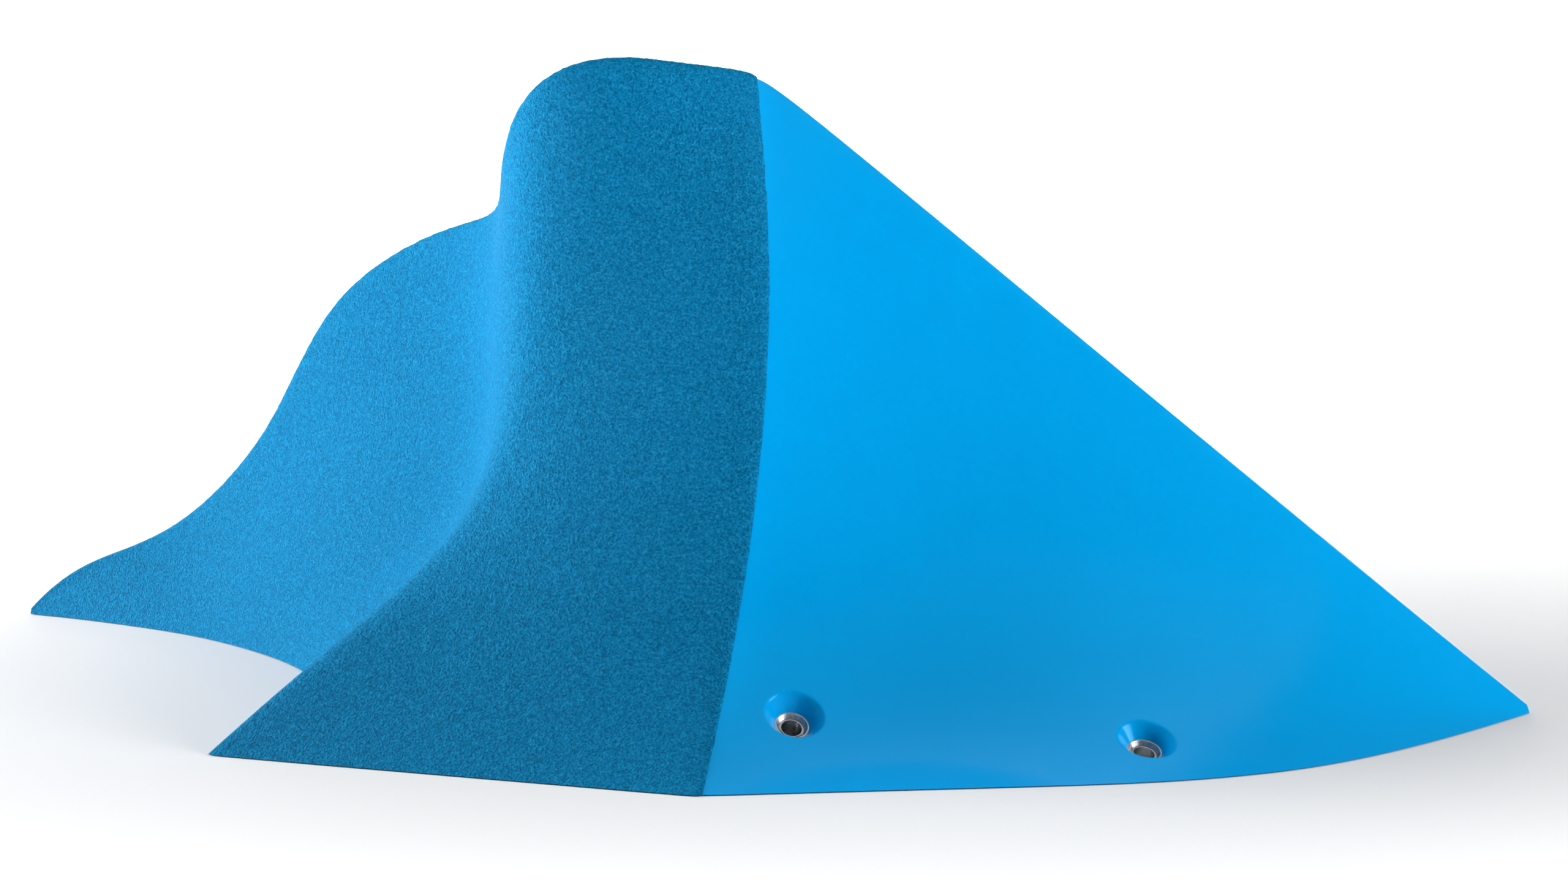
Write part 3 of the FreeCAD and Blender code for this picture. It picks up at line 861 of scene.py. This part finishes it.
def bush_profile():
    """Radius and height over the pocket floor, from the outside over the seat to the bore."""
    seat = -SEAT_DEPTH
    return [(BUSH_R, None), (BUSH_R, -EDGE), (BUSH_R - 0.3 * EDGE, -0.3 * EDGE),
            (BUSH_R - EDGE, 0.0), (RIM_INNER_R + EDGE, 0.0), (RIM_INNER_R, -0.5 * EDGE),
            (RIM_INNER_R - EDGE, -1.6 * EDGE), (SEAT_R + 0.1 * MM, seat + 0.12 * MM),
            (SEAT_R, seat), (SEAT_R, seat - GROOVE_DEPTH), (COLLAR_R, seat - GROOVE_DEPTH),
            (COLLAR_R, seat - 0.1 * MM), (COLLAR_R - 0.1 * MM, seat),
            (BORE_R + EDGE, seat), (BORE_R + 0.3 * EDGE, seat - 0.3 * EDGE),
            (BORE_R, seat - EDGE), (BORE_R, None)]


def bush(pocket, steel):
    """A turned bush about the pocket's axis, cut off flat where it meets the wall."""
    build = Build()
    rings = []
    for radius, height in bush_profile():
        xs, ys = pocket.ring(radius)
        if height is None:
            rise = pocket.floor[2] + xs * pocket.side[2] + ys * pocket.across[2]
            heights = -rise / pocket.axis[2]
        else:
            heights = np.full(SEGMENTS, height)
        rings.append(build.add(np.stack([xs, ys, heights], 1)))
    for one, other in zip(rings, rings[1:] + rings[:1]):
        join_rings(build, one, other)
    made = build.finish("bush_" + pocket.name, steel, ["fixing_bush_" + pocket.name],
                        BUSH_SHARP)
    lathe = made.data.uv_layers.new(name=LATHE_MAP)
    for loop in made.data.loops:
        place = made.data.vertices[loop.vertex_index].co
        lathe.data[loop.index].uv = (math.hypot(place.x, place.y), place.z)
    turned = np.eye(4)
    turned[:3, 0], turned[:3, 1], turned[:3, 2] = pocket.side, pocket.across, pocket.axis
    turned[:3, 3] = pocket.floor
    made.data.transform(Matrix(turned.tolist()))


gelcoat()
grip_coat()
bush_steel = steel_material("turned_steel", TURNED_STEEL, roughness=0.24,
                            rings_in_metre=26000.0, lathe=LATHE_MAP)
for pocket in pockets:
    bush(pocket, bush_steel)


# ---------------------------------------------------------------- the CAD pieces that stay
def dress(node, material):
    """Gives a CAD piece its material."""
    piece = frame["nodes"][node]
    piece.data.materials.clear()
    piece.data.materials.append(material)


raw_laminate = laminate_material()
cast_resin = resin_material()
zinc = steel_material("zinc_steel", ZINC_STEEL, roughness=0.36, rings_in_metre=9000.0)
dress("grp_laminate", raw_laminate)
dress("rib_screws", zinc)
for pocket in pockets:
    dress("fixing_pad_" + pocket.name, cast_resin)

# each board's angle about Z in degrees, from the line of the base that it lies along
BOARD_ANGLES = {
    "rim_batten_front_left": -17.7, "rim_batten_front_right": 5.2, "rim_batten_right": 35.2,
    "rim_batten_back_right": 138.7, "rim_batten_back": 177.0, "rim_batten_back_left": 188.1,
    "rim_batten_bay_back": -41.0, "rim_batten_bay_front": -92.4,
    "cross_rib": 86.1, "ridge_rib": -10.7, "lobe_rib": 152.6,
}
for node, degrees in BOARD_ANGLES.items():
    dress(node, plywood_material("plywood_" + node, math.radians(degrees),
                                 node.endswith("_rib")))

# ---------------------------------------------------------------- floor, light and camera
WHITE = (1.0, 1.0, 1.0, 1.0)
FLOOR_FRONT, FLOOR_BACK, FLOOR_SIDE, FLOOR_DROP = 6.0, 3.2, 9.0, 0.6 * MM
SWEEP_RADIUS, SWEEP_STEP = 1.6, 9
BACKDROP_TOP = 2.4
FLOOR_FADE = (1.3, 2.3)
SURROUND_LIGHT = 0.06


def stage_sheet():
    """A pale floor that rises into a backdrop behind the object."""
    build = bmesh.new()
    profile = [(-FLOOR_FRONT, -FLOOR_DROP), (FLOOR_BACK, -FLOOR_DROP)]
    for degrees in range(SWEEP_STEP, 91, SWEEP_STEP):
        turn = math.radians(degrees)
        profile.append((FLOOR_BACK + SWEEP_RADIUS * math.sin(turn),
                        SWEEP_RADIUS - (SWEEP_RADIUS + FLOOR_DROP) * math.cos(turn)))
    profile.append((FLOOR_BACK + SWEEP_RADIUS, BACKDROP_TOP))
    lines = []
    for x in (-FLOOR_SIDE, FLOOR_SIDE):
        lines.append([build.verts.new((x, y, z)) for y, z in profile])
    for k in range(len(profile) - 1):
        build.faces.new((lines[0][k], lines[1][k], lines[1][k + 1], lines[0][k + 1]))
    mesh = bpy.data.meshes.new("floor")
    build.to_mesh(mesh)
    build.free()
    mesh.polygons.foreach_set("use_smooth", [True] * len(mesh.polygons))
    floor = bpy.data.objects.new("floor", mesh)
    bpy.context.scene.collection.objects.link(floor)
    made = Material("pale_floor", Roughness=0.9, Specular_IOR_Level=0.1, Emission_Color=WHITE)
    shade = made.noise(made.coordinates(), 0.8, detail=2.0)
    made.set("Base Color", made.ramp(shade, [(0.3, (0.86, 0.86, 0.86)),
                                             (0.7, (0.89, 0.89, 0.89))]))
    # the floor fades to plain white far from the object, without lighting it
    away = made.node("ShaderNodeVectorMath", {0: made.coordinates()},
                     operation="LENGTH").outputs["Value"]
    seen = made.node("ShaderNodeLightPath").outputs["Is Camera Ray"]
    made.set("Emission Strength", made.node(
        "ShaderNodeMath", {0: made.fit(away, FLOOR_FADE, (0.0, 1.0)), 1: seen},
        operation="MULTIPLY").outputs["Value"])
    floor.data.materials.append(made.material)


def surround():
    """A world that looks white and lights the object weakly."""
    world = bpy.data.worlds.new("soft_surround")
    world.use_nodes = True
    tree = world.node_tree
    background = tree.nodes["Background"]
    background.inputs["Color"].default_value = WHITE
    level = tree.nodes.new("ShaderNodeMapRange")
    level.inputs["To Min"].default_value = SURROUND_LIGHT
    level.inputs["To Max"].default_value = 1.0
    seen = tree.nodes.new("ShaderNodeLightPath").outputs["Is Camera Ray"]
    tree.links.new(seen, level.inputs["Value"])
    tree.links.new(level.outputs["Result"], background.inputs["Strength"])
    bpy.context.scene.world = world


def softbox(name, place, aim, size, power, spread=180.0):
    """A rectangular area light that faces a point and shines over that many degrees."""
    light = bpy.data.lights.new(name, "AREA")
    light.shape = "RECTANGLE"
    light.size, light.size_y = size
    light.energy = power
    light.spread = math.radians(spread)
    lamp = bpy.data.objects.new(name, light)
    lamp.location = place
    lamp.rotation_euler = (Vector(aim) - Vector(place)).to_track_quat("-Z", "Y").to_euler()
    bpy.context.scene.collection.objects.link(lamp)


stage_sheet()
MIDDLE = (0.0, 0.0, 0.12)
softbox("left_box", (-2.6, 0.28, 0.62), MIDDLE, (1.5, 1.1), 132.0)
softbox("right_box", (2.6, -0.75, 0.85), MIDDLE, (1.3, 1.0), 56.0)
softbox("top_box", (0.5, 0.3, 3.0), MIDDLE, (4.2, 3.2), 32.0)
softbox("back_box", (-0.4, 2.4, 1.5), MIDDLE, (1.8, 1.2), 12.0)
softbox("floor_box", (0.1, -1.75, 1.7), (0.1, -1.75, 0.0), (3.0, 1.7), 88.0, spread=50.0)
softbox("floor_box_left", (-2.0, 0.1, 1.5), (-2.0, 0.1, 0.0), (1.2, 2.4), 26.0, spread=50.0)
softbox("floor_box_back", (0.0, 2.9, 2.4), (0.0, 2.9, 0.0), (7.0, 2.6), 260.0, spread=70.0)
softbox("backdrop_box", (0.0, 1.6, 3.2), (0.0, 4.6, 1.2), (4.0, 0.8), 170.0, spread=100.0)
surround()
bpy.context.scene.view_settings.view_transform = "Standard"

CAMERA_PLACE = (0.0655, -1.2283, 0.257)
CAMERA_PITCH = math.radians(5.0)
CAMERA_LENS = 45.0
SENSOR_WIDTH = 36.0
camera = bpy.data.objects.new("camera", bpy.data.cameras.new("camera"))
camera.data.lens = CAMERA_LENS
camera.data.sensor_width = SENSOR_WIDTH
camera.location = CAMERA_PLACE
camera.rotation_euler = (math.pi / 2 - CAMERA_PITCH, 0.0, 0.0)
bpy.context.scene.collection.objects.link(camera)
bpy.context.scene.camera = camera
